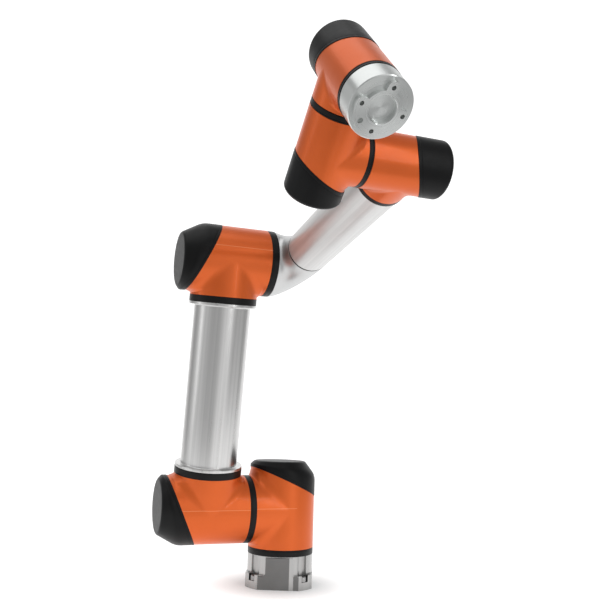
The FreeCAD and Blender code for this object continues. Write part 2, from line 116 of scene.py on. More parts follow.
def ramp(nt, fac, stops):
    r = nt.nodes.new("ShaderNodeValToRGB")
    els = r.color_ramp.elements
    while len(els) < len(stops):
        els.new(0.5)
    for e, (p, c) in zip(els, stops):
        e.position = p
        e.color = (c[0], c[1], c[2], 1) if isinstance(c, (tuple, list)) else (c, c, c, 1)
    nt.links.new(fac, r.inputs["Fac"])
    return r.outputs["Color"]


def spread(nt, fac, lo, hi):
    m = nt.nodes.new("ShaderNodeMapRange")
    m.inputs["From Min"].default_value = 0.25
    m.inputs["From Max"].default_value = 0.75
    m.inputs["To Min"].default_value = lo
    m.inputs["To Max"].default_value = hi
    nt.links.new(fac, m.inputs["Value"])
    return m.outputs["Result"]


def bump(nt, b, height, strength, dist):
    n = nt.nodes.new("ShaderNodeBump")
    n.inputs["Strength"].default_value = strength
    n.inputs["Distance"].default_value = dist
    nt.links.new(height, n.inputs["Height"])
    nt.links.new(n.outputs["Normal"], b.inputs["Normal"])
    return n


def painted_highlight_line(nt, where, at, limit):
    """Mask of a thin painted highlight line lying in a plane through the housing; it stands in for a reflected strip of
    light.
    """
    tc = nt.nodes.new("ShaderNodeTexCoord")
    sep = nt.nodes.new("ShaderNodeSeparateXYZ")
    nt.links.new(tc.outputs["Object"], sep.inputs[0])
    shift = nt.nodes.new("ShaderNodeMath")
    shift.operation = "SUBTRACT"
    shift.inputs[1].default_value = at
    nt.links.new(sep.outputs[where], shift.inputs[0])
    off = nt.nodes.new("ShaderNodeMath")
    off.operation = "ABSOLUTE"
    nt.links.new(shift.outputs[0], off.inputs[0])
    mr = nt.nodes.new("ShaderNodeMapRange")
    for k, val in (("From Min", 0.00022), ("From Max", 0.00052), ("To Min", 1.0), ("To Max", 0.0)):
        mr.inputs[k].default_value = val
    nt.links.new(off.outputs[0], mr.inputs["Value"])
    if limit is None:
        return mr.outputs["Result"]
    side = nt.nodes.new("ShaderNodeMath")
    side.operation = "GREATER_THAN"
    side.inputs[1].default_value = limit
    nt.links.new(sep.outputs["X"], side.inputs[0])
    both = nt.nodes.new("ShaderNodeMath")
    both.operation = "MULTIPLY"
    nt.links.new(mr.outputs["Result"], both.inputs[0])
    nt.links.new(side.outputs[0], both.inputs[1])
    return both.outputs[0]


def paint(name, dark, mid, light, rough, coat, peel, flake=0.45, line=None):
    m, nt, b = new_mat(name)
    b.inputs["Metallic"].default_value = flake
    v = coords(nt)
    c = ramp(nt, noise(nt, v, 9.0, 4.0), [(0.3, dark), (0.5, mid), (0.72, light)])
    # line: plane of a painted highlight line; the lighter orange mixed in below paints a reflected strip of light
    if line:
        mx = nt.nodes.new("ShaderNodeMix")
        mx.data_type = "RGBA"
        nt.links.new(painted_highlight_line(nt, *line), mx.inputs["Factor"])
        nt.links.new(c, mx.inputs["A"])
        mx.inputs["B"].default_value = (0.86, 0.27, 0.11, 1)
        c = mx.outputs["Result"]
    nt.links.new(c, b.inputs["Base Color"])
    nt.links.new(spread(nt, noise(nt, v, 60.0, 5.0, 0.6), rough * 0.88, rough * 1.15), b.inputs["Roughness"])
    b.inputs["Coat Weight"].default_value = coat
    b.inputs["Coat Roughness"].default_value = 0.06
    b.inputs["Specular IOR Level"].default_value = 0.3
    bump(nt, b, noise(nt, v, 900.0, 2.0), peel, 0.00006)
    return m


def plastic(name, dark, light, rough, grain, spec=0.5):
    m, nt, b = new_mat(name)
    v = coords(nt)
    c = ramp(nt, noise(nt, v, 30.0, 5.0), [(0.3, dark), (0.7, light)])
    nt.links.new(c, b.inputs["Base Color"])
    nt.links.new(spread(nt, noise(nt, v, 140.0, 4.0, 0.6), rough * 0.9, rough * 1.12), b.inputs["Roughness"])
    b.inputs["Specular IOR Level"].default_value = spec
    bump(nt, b, noise(nt, v, 1500.0, 2.0), grain, 0.00008)
    return m


def metal(name, dark, light, rough, stretch, scale, line, metallic=1.0, aniso=0.0):
    m, nt, b = new_mat(name)
    fine = noise(nt, coords(nt, stretch), scale, 3.0, 0.6)
    soft = noise(nt, coords(nt), 14.0, 3.0)
    c = ramp(nt, soft, [(0.3, dark), (0.7, light)])
    nt.links.new(c, b.inputs["Base Color"])
    b.inputs["Metallic"].default_value = metallic
    nt.links.new(spread(nt, fine, rough * 0.8, rough * 1.25), b.inputs["Roughness"])
    if aniso:
        b.inputs["Anisotropic"].default_value = aniso
    bump(nt, b, fine, line, 0.00003)
    return m


def brushed(name, dark, light, rough, streak, contrast, line=0.06, aniso=0.0, metallic=1.0):
    """Metal with fine lines along one direction; streak is the stretch of the lines in metres^-1."""
    m, nt, b = new_mat(name)
    wide = noise(nt, coords(nt, streak), 1.0, 4.0, 0.65)
    soft = noise(nt, coords(nt), 9.0, 2.0)
    c = ramp(nt, wide, [(0.5 - contrast, dark), (0.5 + contrast, light)])
    nt.links.new(c, b.inputs["Base Color"])
    b.inputs["Metallic"].default_value = metallic
    mixed = nt.nodes.new("ShaderNodeMath")
    mixed.operation = "ADD"
    nt.links.new(spread(nt, wide, rough * 0.82, rough * 1.1), mixed.inputs[0])
    nt.links.new(spread(nt, soft, 0.0, rough * 0.12), mixed.inputs[1])
    nt.links.new(mixed.outputs[0], b.inputs["Roughness"])
    if aniso:
        b.inputs["Anisotropic"].default_value = aniso
    if line:
        bump(nt, b, wide, line, 0.00002)
    return m, nt, b


def spun(name, origin, axis, dark, light, rough, aniso):
    """Face-turned metal: the grain runs round the given axis, so reflections fan out from the middle."""
    m, nt, b = new_mat(name)
    tc = nt.nodes.new("ShaderNodeTexCoord")
    sub = nt.nodes.new("ShaderNodeVectorMath")
    sub.operation = "SUBTRACT"
    sub.inputs[1].default_value = tuple(origin)
    nt.links.new(tc.outputs["Object"], sub.inputs[0])
    cr = nt.nodes.new("ShaderNodeVectorMath")
    cr.operation = "CROSS_PRODUCT"
    cr.inputs[1].default_value = tuple(axis)
    nt.links.new(sub.outputs[0], cr.inputs[0])
    ln = nt.nodes.new("ShaderNodeVectorMath")
    ln.operation = "LENGTH"
    nt.links.new(cr.outputs[0], ln.inputs[0])
    to_world = nt.nodes.new("ShaderNodeVectorTransform")
    to_world.vector_type = "VECTOR"
    to_world.convert_from, to_world.convert_to = "OBJECT", "WORLD"
    nt.links.new(cr.outputs[0], to_world.inputs[0])
    b.inputs["Anisotropic Rotation"].default_value = 0.25
    nt.links.new(to_world.outputs[0], b.inputs["Tangent"])
    ring = nt.nodes.new("ShaderNodeTexNoise")
    ring.noise_dimensions = "1D"
    ring.inputs["Scale"].default_value = 900.0
    ring.inputs["Detail"].default_value = 3.0
    nt.links.new(ln.outputs["Value"], ring.inputs["W"])
    nt.links.new(ramp(nt, ring.outputs["Fac"], [(0.3, dark), (0.7, light)]), b.inputs["Base Color"])
    nt.links.new(spread(nt, ring.outputs["Fac"], rough * 0.97, rough * 1.04), b.inputs["Roughness"])
    b.inputs["Metallic"].default_value = 1.0
    b.inputs["Anisotropic"].default_value = aniso
    return m


ORANGE = ((0.70, 0.122, 0.020), (0.74, 0.131, 0.022), (0.77, 0.140, 0.025), 0.35, 0.10, 0.05)
paint("orange_paint", *ORANGE)
# the next three paint a thin highlight line across the orange at the given plane
paint("highlight_line_orange_low", *ORANGE, line=("X", 0.013, None))
paint("highlight_line_orange_high", *ORANGE, line=("X", -0.020, None))
paint("highlight_line_orange_level", *ORANGE, line=("Z", -0.0054, -0.008))
plastic("cover_black", (0.0040, 0.0042, 0.0045), (0.0062, 0.0064, 0.0068), 0.40, 0.10, 0.16)
plastic("ring_black", (0.0045, 0.0045, 0.0045), (0.0070, 0.0070, 0.0070), 0.38, 0.12, 0.20)
plastic("seal_black", (0.007, 0.007, 0.007), (0.011, 0.011, 0.011), 0.55, 0.2, 0.3)
# grey panel colour; it also paints the shade of the bolt pocket on the foot's right
plastic("grey_panel_and_painted_shade", (0.17, 0.17, 0.167), (0.20, 0.20, 0.197), 0.55, 0.15, 0.3)
plastic("board_green", (0.01, 0.06, 0.03), (0.015, 0.09, 0.04), 0.45, 0.3)
plastic("plug_black", (0.014, 0.014, 0.014), (0.024, 0.024, 0.024), 0.5, 0.4)
brushed("tube_metal", (0.56, 0.56, 0.555), (0.74, 0.735, 0.73), 0.30, (130, 130, 0.8), 0.22, 0.0)
brushed("fore_metal", (0.60, 0.60, 0.595), (0.76, 0.755, 0.75), 0.40, (130, 130, 0.8), 0.22, 0.0, 0.0, 0.72)
brushed("cast_metal", (0.55, 0.555, 0.555), (0.63, 0.635, 0.635), 0.38, (25, 25, 25), 0.3, 0.0)
spun("turned_metal", C["j6"], D6, (0.68, 0.70, 0.69), (0.72, 0.74, 0.73), 0.28, 0.8)
brushed("base_metal", (0.38, 0.38, 0.376), (0.50, 0.496, 0.49), 0.28, (90, 90, 2.0), 0.25, 0.0)
metal("screw_steel", (0.30, 0.30, 0.30), (0.40, 0.40, 0.40), 0.32, (500, 500, 500), 1.0, 0.1)
# painted shade: darker metal for the inside of holes; no piece is given it
metal("hole_painted_shade", (0.10, 0.10, 0.10), (0.16, 0.16, 0.16), 0.5, (300, 300, 300), 1.0, 0.1)
metal("drive_metal", (0.45, 0.45, 0.46), (0.55, 0.55, 0.56), 0.35, (40, 40, 600), 1.0, 0.1)
metal("winding_copper", (0.50, 0.19, 0.07), (0.62, 0.26, 0.10), 0.4, (20, 20, 900), 1.0, 0.3)

# ------------------------------------------------------------------- meshing


def make(name, verts, faces, place, mat, body, smooth=True, mods=(), weld=0.0):
    me = bpy.data.meshes.new(name)
    me.from_pydata([tuple(c * MM for c in v) for v in verts], [], [tuple(f) for f in faces])
    bm = bmesh.new()
    bm.from_mesh(me)
    if weld:
        bmesh.ops.remove_doubles(bm, verts=bm.verts, dist=weld * MM)
    bmesh.ops.dissolve_degenerate(bm, edges=bm.edges, dist=1e-7)
    bmesh.ops.recalc_face_normals(bm, faces=bm.faces)
    bm.to_mesh(me)
    bm.free()
    for p in me.polygons:
        p.use_smooth = smooth
    ob = bpy.data.objects.new(name, me)
    bpy.context.scene.collection.objects.link(ob)
    ob.matrix_world = place
    me.materials.append(MAT[mat])
    for kind, settings in mods:
        md = ob.modifiers.new(kind.lower(), kind)
        for k, v in settings.items():
            setattr(md, k, v)
    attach(ob, body)
    return ob


SHELL = ("SOLIDIFY", {"thickness": 3.4 * MM, "offset": -1.0, "use_rim": True, "use_quality_normals": True})
EDGE = ("BEVEL", {"width": 0.5 * MM, "segments": 2, "limit_method": "ANGLE", "angle_limit": math.radians(42)})
NORM = ("WEIGHTED_NORMAL", {"keep_sharp": True, "weight": 60})


def rounded(pts, radii, segs=4, closed=True):
    """Outline with its corners turned into arcs."""
    out = []
    n = len(pts)
    for i in range(n):
        p = np.array(pts[i], float)
        r = radii[i] if isinstance(radii, (list, tuple)) else radii
        if r <= 0 or (not closed and i in (0, n - 1)):
            out.append(tuple(p))
            continue
        a, b = np.array(pts[i - 1], float), np.array(pts[(i + 1) % n], float)
        u, v = a - p, b - p
        lu, lv = np.linalg.norm(u), np.linalg.norm(v)
        t = min(r, 0.45 * lu, 0.45 * lv)
        s, e = p + u / lu * t, p + v / lv * t
        for k in range(segs + 1):
            w = k / segs
            out.append(tuple((1 - w) ** 2 * s + 2 * w * (1 - w) * p + w * w * e))
    return out


def lathe(name, pts, place, mat, body, turns=144, radii=0.6, segs=4, replaces=None, mods=(NORM,)):
    prof = rounded(pts, radii, segs)
    n = len(prof)
    verts, faces = [], []
    for k in range(turns):
        a = 2 * math.pi * k / turns
        for r, z in prof:
            verts.append((r * math.cos(a), r * math.sin(a), z))
    for k in range(turns):
        k2 = (k + 1) % turns
        for i in range(n):
            i2 = (i + 1) % n
            faces.append((k * n + i, k2 * n + i, k2 * n + i2, k * n + i2))
    ob = make(name, verts, faces, place, mat, body, mods=mods)
    if replaces:
        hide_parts(*replaces)
    return ob


def sheet_faces(index, faces, flip=False):
    rows, cols = index.shape
    for r in range(rows - 1):
        for c in range(cols - 1):
            f = (index[r, c], index[r, c + 1], index[r + 1, c + 1], index[r + 1, c])
            faces.append(f[::-1] if flip else f)


# ------------------------------------------------------------ joint housings


def smooth_union(P, R, RB, BE, k, near, cut):
    """Signed distance of barrel and branch with a soft corner that fades at the open ends."""
    x, y, z = P[:, 0], P[:, 1], P[:, 2]
    r1 = np.maximum(np.hypot(x, y), 1e-6)
    r2 = np.maximum(np.hypot(y, z), 1e-6)
    a = r1 - R
    b = np.maximum(r2 - RB, -x)
    align = np.clip((y * y) / (r1 * r2), 0, 1)
    fade = np.clip((BE - x) / 9.0, 0, 1) * np.clip((near - z) / 7.0, 0, 1) * np.clip((z - cut(np.arctan2(np.abs(y), x))) / 5.0, 0, 1)
    ke = k * (1 - align) * fade + 1e-3
    h = np.clip(1 - np.abs(a - b) / ke, 0, 1)
    return np.minimum(a, b) - h * h * ke / 4


def settle(P, args, rounds=8):
    P = P.copy()
    for _ in range(rounds):
        f = smooth_union(P, *args)
        g = np.zeros_like(P)
        for i in range(3):
            e = np.zeros(3)
            e[i] = 0.01
            g[:, i] = (smooth_union(P + e, *args) - smooth_union(P - e, *args)) / 0.02
        g2 = np.maximum((g * g).sum(1), 0.2)
        P -= (f / g2)[:, None] * g * 0.9
    return P


def split_line(sl, ss, c2):
    """Depth of the slanted split round the barrel."""
    mid, diff = (sl + ss) / 2, (sl - ss) / 2
    return lambda th: -(mid - c2 + diff * np.cos(th) + c2 * np.cos(2 * th))


def tee(tag, body, R, RB, BE, near, sl, ss, k, wall, c2=0.0):
    """Cast housing: barrel about z, branch along +x, mouth at z=near, slanted split below."""
    cut = split_line(sl, ss, c2)
    args = (R, RB, BE, k, near, cut)
    al = np.linspace(math.pi / 2, 0, 45)
    crease_th = np.arcsin(RB * np.cos(al) / R)
    crease_z = RB * np.sin(al)
    th = np.concatenate([crease_th, np.linspace(crease_th[-1], math.pi, 50)[1:]])
    zi = np.concatenate([crease_z, np.zeros(49)])
    zi[44:] = 0.0
    rows = 30
    g = (np.arange(rows + 1) / rows) ** 1.5
    verts, faces = [], []
    for side in (1, -1):
        grids = []
        up = np.zeros((rows + 1, len(th), 3))
        dn = np.zeros((rows + 1, len(th), 3))
        for i, t in enumerate(g):
            up[i] = np.stack([R * np.cos(th), R * np.sin(th), zi + (near - zi) * t], 1)
            dn[i] = np.stack([R * np.cos(th), R * np.sin(th), -zi + (cut(th) + zi) * t], 1)
        grids += [up, dn]
        xi = R * np.cos(crease_th)
        for sgn in (1, -1):
            br = np.zeros((rows + 1, len(al), 3))
            for i, t in enumerate(g):
                br[i] = np.stack([xi + (BE - xi) * t, RB * np.cos(al), sgn * crease_z], 1)
            grids.append(br)
        for G in grids:
            shape = G.shape
            inner = settle(G[:-1].reshape(-1, 3), args).reshape(shape[0] - 1, shape[1], 3)
            inner[:, 0, 1] = 0.0
            G[:-1] = inner
            G[:, :, 1] *= side
            idx = np.arange(shape[0] * shape[1]).reshape(shape[:2]) + len(verts)
            verts += [tuple(p) for p in G.reshape(-1, 3)]
            sheet_faces(idx, faces)
    ob = make(tag + "_housing_shell", verts, faces, PLACE[tag], HIGHLIGHT_LINED.get(tag, "orange_paint"), body, weld=0.03,
              mods=((SHELL[0], dict(SHELL[1], thickness=wall * MM)), EDGE, NORM))
    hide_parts(tag + "_housing")
    return ob


def cap(tag, body, R, CR, sl, ss, bl, bs, ce, rd, sx, wall, c2=0.0):
    """Slanted plastic cover: rim band with a fine groove, straight skirt, lopsided bevel, flat disc."""
    slope, mid = (sl - ss) / 2 / R, (sl + ss) / 2
    slope2, mid2 = (bl - bs) / 2 / R, (bl + bs) / 2
    nt_ = 160
    cols = []
    for k in range(nt_):
        th = 2 * math.pi * k / nt_
        c, s = math.cos(th), math.sin(th)
        zc = -(mid - c2 + slope * CR * c + c2 * math.cos(2 * th))
        zb = -(mid2 + slope2 * CR * c)
        nx = np.array([c, s, 0.0])
        def at(r, z):
            return nx * r + np.array([0, 0, z])
        f = min(1.0, (zc - zb) / 8.0)
        line = [at(CR - 0.55, zc), at(CR - 0.16, zc - 0.16 * f), at(CR, zc - 0.55 * f)]
        for t in (0.4, 0.9):
            line.append(at(CR, zc - (0.55 + t * 3.4) * f))
        line += [at(CR, zc - 4.3 * f), at(CR - 0.45, zc - 4.55 * f), at(CR - 0.45, zc - 4.95 * f), at(CR, zc - 5.2 * f)]
        p0, p1 = at(CR, zc - 5.2 * f), at(CR, zb)
        p2 = np.array([sx + rd * c, rd * s, -ce])
        cen = np.array([sx, 0, -ce])
        l01, l12 = np.linalg.norm(p1 - p0), np.linalg.norm(p2 - p1)
        t1 = min(9.0, 0.48 * l01, 0.42 * l12)
        t2 = min(3.2, 0.45 * l12)
        a1, b1 = p1 + (p0 - p1) / l01 * t1, p1 + (p2 - p1) / l12 * t1
        uc = (cen - p2) / np.linalg.norm(cen - p2)
        a2, b2 = p2 + (p1 - p2) / l12 * t2, p2 + uc * t2
        for w in (0.25, 0.5, 0.75):
            line.append(p0 + (a1 - p0) * w)
        for i in range(8):
            w = i / 7
            line.append((1 - w) ** 2 * a1 + 2 * w * (1 - w) * p1 + w * w * b1)
        for w in (0.33, 0.66):
            line.append(b1 + (a2 - b1) * w)
        for i in range(6):
            w = i / 5
            line.append((1 - w) ** 2 * a2 + 2 * w * (1 - w) * p2 + w * w * b2)
        for w in (0.3, 0.6, 0.85):
            line.append(b2 + (cen - b2) * w)
        cols.append(line)
    n = len(cols[0])
    verts, faces = [], []
    for line in cols:
        verts += [tuple(p) for p in line]
    for k in range(nt_):
        k2 = (k + 1) % nt_
        for i in range(n - 1):
            faces.append((k * n + i, k * n + i + 1, k2 * n + i + 1, k2 * n + i))
    verts.append((sx, 0, -ce))
    for k in range(nt_):
        faces.append((k * n + n - 1, len(verts) - 1, ((k + 1) % nt_) * n + n - 1))
    ob = make(tag + "_cover_shell", verts, faces, PLACE[tag], "cover_black", body,
              mods=((SHELL[0], dict(SHELL[1], thickness=wall * MM)), NORM))
    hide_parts(tag + "_cover")
    return ob


BIG = dict(R=54.5, RB=54.3, BE=60.2)
SMALL = dict(R=36.5, RB=36.3, BE=39.8)
SPLIT = {"j1": (68.5, 20.5, 0.0), "j2": (65.0, 15.0, -1.0), "j3": (65.0, 15.0, -1.0),
         "j4": (44.5, 8.0, 0.0), "j5": (42.0, 6.0, 0.0), "j6": (40.5, 4.5, 0.0)}
NEAR = {"j1": 60.2, "j2": 62.4, "j3": 60.8, "j4": 49.0, "j5": 53.6, "j6": 55.7}
ENDS = {"j1": (73.0, 56.0, 79.0), "j2": (73.0, 45.5, 78.0), "j3": (73.0, 45.5, 78.0),
        "j4": (56.5, 55.5, 59.5), "j5": (56.5, 55.5, 59.5), "j6": (56.5, 55.5, 59.5)}
# housings whose orange carries a painted highlight line
HIGHLIGHT_LINED = {"j1": "highlight_line_orange_level", "j2": "highlight_line_orange_low", "j3": "highlight_line_orange_high"}
HOLDER = {"j1": "shoulder", "j2": "upper_arm", "j3": "upper_arm", "j4": "forearm", "j5": "wrist_1", "j6": "wrist_2"}
for t in SPLIT:
    big = t in ("j1", "j2", "j3")
    sl, ss, c2 = SPLIT[t]
    tee(t, HOLDER[t], near=NEAR[t], sl=sl, ss=ss, k=20.0 if big else 14.0, wall=3.6 if big else 2.8, c2=c2, **(BIG if big else SMALL))
    bl, bs, ce = ENDS[t]
    if big:
        cap(t, HOLDER[t], 54.5, 55.1, sl, ss, bl, bs, ce, 43.0, 6.0, 3.0, c2)
    else:
        cap(t, HOLDER[t], 36.5, 37.1, sl, ss, bl, bs, ce, 34.0, 0.5, 2.6, c2)

# --------------------------------------------------------------- seal rings


def seal(tag, body, R, near, far, mat="ring_black", k=1.0):
    m = (near + far) / 2
    w = far - near
    g = 0.35
    pts = [(R - 7.5 * k, near), (R - 0.1, near), (R - 0.1, m - 0.30 * w), (R - g - 0.1, m - 0.30 * w + 0.25), (R - g - 0.1, m - 0.30 * w + 0.65),
           (R - 0.1, m - 0.30 * w + 0.9), (R - 0.1, far), (R - 7.5 * k, far)]
    radii = [0, 0.7, 0.1, 0.1, 0.1, 0.1, 0.7, 0]
    lathe(tag + "_seal", pts, PLACE[tag], mat, body, radii=radii, replaces=[tag + "_seal_ring"])


seal("j1", "base", 54.5, 60.5, 70.8)
seal("j2", "shoulder", 54.5, 62.7, 73.1)
seal("j3", "forearm", 54.5, 61.1, 72.8)
seal("j4", "wrist_1", 36.5, 49.3, 56.0, k=0.67)
seal("j5", "wrist_2", 36.5, 53.9, 61.3, k=0.67)
seal("j6", "tool", 36.5, 56.0, 61.5, k=0.67)

# ----------------------------------------------------------------- upper arm
lo, hi = 71.3, UPPER - 70.9
lathe("upper_tube_skin", [(41.5, lo), (54.2, lo), (54.2, lo + 4.5), (45.5, lo + 4.5), (45.5, hi - 4.5), (54.2, hi - 4.5), (54.2, hi), (41.5, hi)],
      PLACE["up"], "tube_metal", "upper_arm", turns=180, radii=[0.5, 0.9, 0.9, 2.2, 2.2, 0.9, 0.9, 0.5], replaces=["upper_arm_tube"])
lathe("tube_band_low", [(41.5, 60.2), (54.4, 60.2), (54.4, lo), (41.5, lo)], PLACE["up"], "ring_black", "upper_arm",
      radii=[0, 0.7, 0.7, 0], replaces=["tube_ring_low"])
lathe("tube_band_high", [(41.5, hi), (54.4, hi), (54.4, UPPER - 60.2), (41.5, UPPER - 60.2)], PLACE["up"], "ring_black", "upper_arm",
      radii=[0, 0.7, 0.7, 0], replaces=["tube_ring_high"])

# ------------------------------------------------------------------- forearm
lathe("forearm_tube_skin", [(31.9, 79.2), (35.1, 79.2), (35.1, FORE - 47.4), (31.9, FORE - 47.4)], PLACE["fore"], "fore_metal", "forearm",
      turns=160, radii=[0, 0.6, 0.6, 0], replaces=["forearm_tube"])
lathe("forearm_band", [(31.9, FORE - 47.4), (36.4, FORE - 47.4), (36.4, FORE - 39.8), (31.9, FORE - 39.8)], PLACE["fore"], "ring_black",
      "forearm", radii=[0, 0.6, 0.6, 0], replaces=["forearm_ring"])
lathe("elbow_joint_line", [(31.9, 75.6), (34.8, 75.6), (34.8, 79.3), (31.9, 79.3)], PLACE["fore"], "ring_black", "forearm",
      radii=0.1, replaces=["elbow_gasket"])


def elbow():
    x0, z1, r0, r1 = 72.8 - 114.0, 75.7, 54.3, 35.1
    steps, nt_ = 40, 128
    verts, faces = [], []
    for shell, inset in ((0, 0.0), (1, 4.0)):
        for i in range(steps + 1):
            t = 0.5 * math.pi * i / steps
            s, c = math.sin(t), math.cos(t)
            ox, oz = x0 + (r1 - x0) * s ** 0.92, z1 - (z1 + r0) * c ** 0.92
            ix, iz = x0 + (-r1 - x0) * s, z1 - (z1 - r0) * c
            cx, cz = (ox + ix) / 2, (oz + iz) / 2
            L = math.hypot(ox - ix, oz - iz) / 2
            ux, uz = (ox - ix) / (2 * L), (oz - iz) / (2 * L)
            w = min(r0 + (r1 - r0) * (s ** 1.3), L)
            for q in range(nt_):
                a = 2 * math.pi * q / nt_
                u, v = (L - inset) * math.cos(a), (w - inset) * math.sin(a)
                verts.append((cx + ux * u, v, cz + uz * u))
    n = (steps + 1) * nt_
    for shell in (0, 1):
        for i in range(steps):
            for q in range(nt_):
                q2 = (q + 1) % nt_
                f = [shell * n + i * nt_ + q, shell * n + i * nt_ + q2, shell * n + (i + 1) * nt_ + q2, shell * n + (i + 1) * nt_ + q]
                faces.append(f if shell == 0 else f[::-1])
    for i in (0, steps):
        for q in range(nt_):
            q2 = (q + 1) % nt_
            faces.append([i * nt_ + q, i * nt_ + q2, n + i * nt_ + q2, n + i * nt_ + q])
    ob = make("elbow_shell", verts, faces, PLACE["fore"], "cast_metal", "forearm", mods=(EDGE, NORM))
    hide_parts("elbow_casting")


elbow()

# ------------------------------------------------ socket screws in the pockets


def socket_screw(name, x, y, z0, head=6.5, tall=8.0, hexa=3.46, deep=4.2, turn=0.3):
    """Cap screw head: knurled rim, chamfer, hexagon socket."""
    n = 72
    verts, faces = [], []
    rings = [(head - 0.4, z0, 0), (head, z0 + 0.5, 1), (head, z0 + tall - 1.1, 1), (head - 0.25, z0 + tall - 0.5, 0),
             (head - 0.9, z0 + tall, 0)]
    for r, z, knurl in rings:
        for q in range(n):
            a = 2 * math.pi * q / n
            rr = r - (0.16 if knurl and q % 2 else 0.0)
            verts.append((x + rr * math.cos(a), y + rr * math.sin(a), z))

    def hexr(a, r):
        s = (a - turn) % (math.pi / 3) - math.pi / 6
        return r * math.cos(math.pi / 6) / math.cos(s)
    for extra, z in ((0.45, z0 + tall), (0.0, z0 + tall - 0.45), (0.0, z0 + tall - deep)):
        for q in range(n):
            a = 2 * math.pi * q / n
            rr = hexr(a, hexa) + extra
            verts.append((x + rr * math.cos(a), y + rr * math.sin(a), z))
    rows = len(rings) + 3
    for i in range(rows - 1):
        for q in range(n):
            q2 = (q + 1) % n
            faces.append((i * n + q, i * n + q2, (i + 1) * n + q2, (i + 1) * n + q))
    verts.append((x, y, z0 + tall - deep - 1.0))
    for q in range(n):
        faces.append(((rows - 1) * n + q, (rows - 1) * n + (q + 1) % n, len(verts) - 1))
    verts.append((x, y, z0))
    for q in range(n):
        faces.append((q, len(verts) - 1, (q + 1) % n))
    return make(name, verts, faces, PLACE["base"], "screw_steel", "base", smooth=False)


def front_plate():
    """Thin plate on the flat front of the foot, with one long bevel on its right side."""
    y0, y1 = -50.9, -53.2
    out = [(-33.0, 0.3), (17.6, 0.3), (17.6, 49.6), (-20.6, 49.6), (-20.6, 25.0), (-23.5, 20.5), (-32.6, 20.5)]
    verts, faces = [], []
    n = len(out)
    for y, inset in ((y0, 0.0), (y1 + 0.5, 0.0), (y1, 0.5)):
        cx, cz = -5.0, 22.0
        for x, z in out:
            sx = inset * (1 if x < cx else -1 if x < 17 else 0)
            sz = inset * (1 if z < cz else -1)
            verts.append((x + sx, y, z + sz))
    for r in range(2):
        for i in range(n):
            faces.append((r * n + i, r * n + (i + 1) % n, (r + 1) * n + (i + 1) % n, (r + 1) * n + i))
    faces.append(tuple(range(2 * n, 3 * n)))
    faces.append(tuple(range(n))[::-1])
    make("base_front_plate", verts, faces, PLACE["base"], "grey_panel_and_painted_shade", "base", smooth=False)
    # painted shade: a small grey sheet on the right half of the foot stands in for the shaded bolt pocket beside it
    verts, faces = [], []
    for y, i in ((-50.9, 0.0), (-51.5, 0.0), (-51.8, 0.3)):
        verts += [(24.7 + i, y, 0.3 + i), (33.2 - i, y, 0.3 + i), (33.2 - i, y, 21.4 - i), (24.7 + i, y, 21.4 - i)]
    for r in range(2):
        for q in range(4):
            faces.append((r * 4 + q, r * 4 + (q + 1) % 4, (r + 1) * 4 + (q + 1) % 4, (r + 1) * 4 + q))
    faces.append((8, 9, 10, 11))
    faces.append((3, 2, 1, 0))
    make("base_pocket_painted_shade", verts, faces, PLACE["base"], "grey_panel_and_painted_shade", "base", smooth=False)
    # bright bevel strip beside it, running the full height
    prof = [(17.65, -50.9), (17.65, -53.2), (18.3, -53.15), (24.2, -50.95)]
    verts, faces = [], []
    for z in (0.3, 0.8, 48.8, 49.6):
        for x, y in prof:
            verts.append((x, y, z))
    m = len(prof)
    for r in range(3):
        for i in range(m):
            faces.append((r * m + i, r * m + (i + 1) % m, (r + 1) * m + (i + 1) % m, (r + 1) * m + i))
    faces.append((0, 1, 2, 3))
    faces.append(tuple(3 * m + i for i in (3, 2, 1, 0)))
    make("base_front_bevel", verts, faces, PLACE["base"], "base_metal", "base", smooth=False)


front_plate()
for q in range(4):
    a = math.radians(45 + 90 * q)
    socket_screw("base_screw_%d" % (q + 1), 54.0 * math.cos(a), 54.0 * math.sin(a), 12.05, turn=0.3 + 0.5 * q)

# ----------------------------------------------------- show the CAD drive parts
def finish_node(name, mat, smooth=True):
    o = frame["nodes"][name]
    o.data.materials.clear()
    o.data.materials.append(MAT[mat])


for t in ("j1", "j2", "j3", "j4", "j5", "j6"):
    finish_node(t + "_gear_ring", "drive_metal")
    finish_node(t + "_motor_stator", "winding_copper")
    finish_node(t + "_motor_rotor", "drive_metal")
    finish_node(t + "_drive_board", "board_green")
    if t != "j6":
        finish_node(t + "_output_hub", "drive_metal")
finish_node("tool_flange", "turned_metal")
finish_node("base_pedestal", "base_metal")
finish_node("base_connector", "plug_black")

# ------------------------------------------------------------ camera and light
TURN = math.radians(22.0)


def turned(v):
    x, y, z = v
    return Vector((x * math.cos(TURN) - y * math.sin(TURN), x * math.sin(TURN) + y * math.cos(TURN), z))


cam_data = bpy.data.cameras.new("camera")
cam = bpy.data.objects.new("camera", cam_data)
bpy.context.scene.collection.objects.link(cam)
right, upv, fwd = turned((0.93436, -0.35513, 0.02923)), turned((-0.08345, -0.13834, 0.98686)), turned((0.34642, 0.92452, 0.15889))
pos = turned((-435.69, -1222.41, 270.24)) * MM
m = Matrix.Identity(4)
for i in range(3):
    m[i][0], m[i][1], m[i][2], m[i][3] = right[i], upv[i], -fwd[i], pos[i]
cam.matrix_world = m
cam_data.sensor_width = 36.0
cam_data.lens = 743.58 / 600 * 36.0
cam_data.clip_start = 0.01
cam_data.clip_end = 50
bpy.context.scene.camera = cam
bpy.context.scene.view_settings.view_transform = "Standard"
bpy.context.scene.view_settings.look = "None"

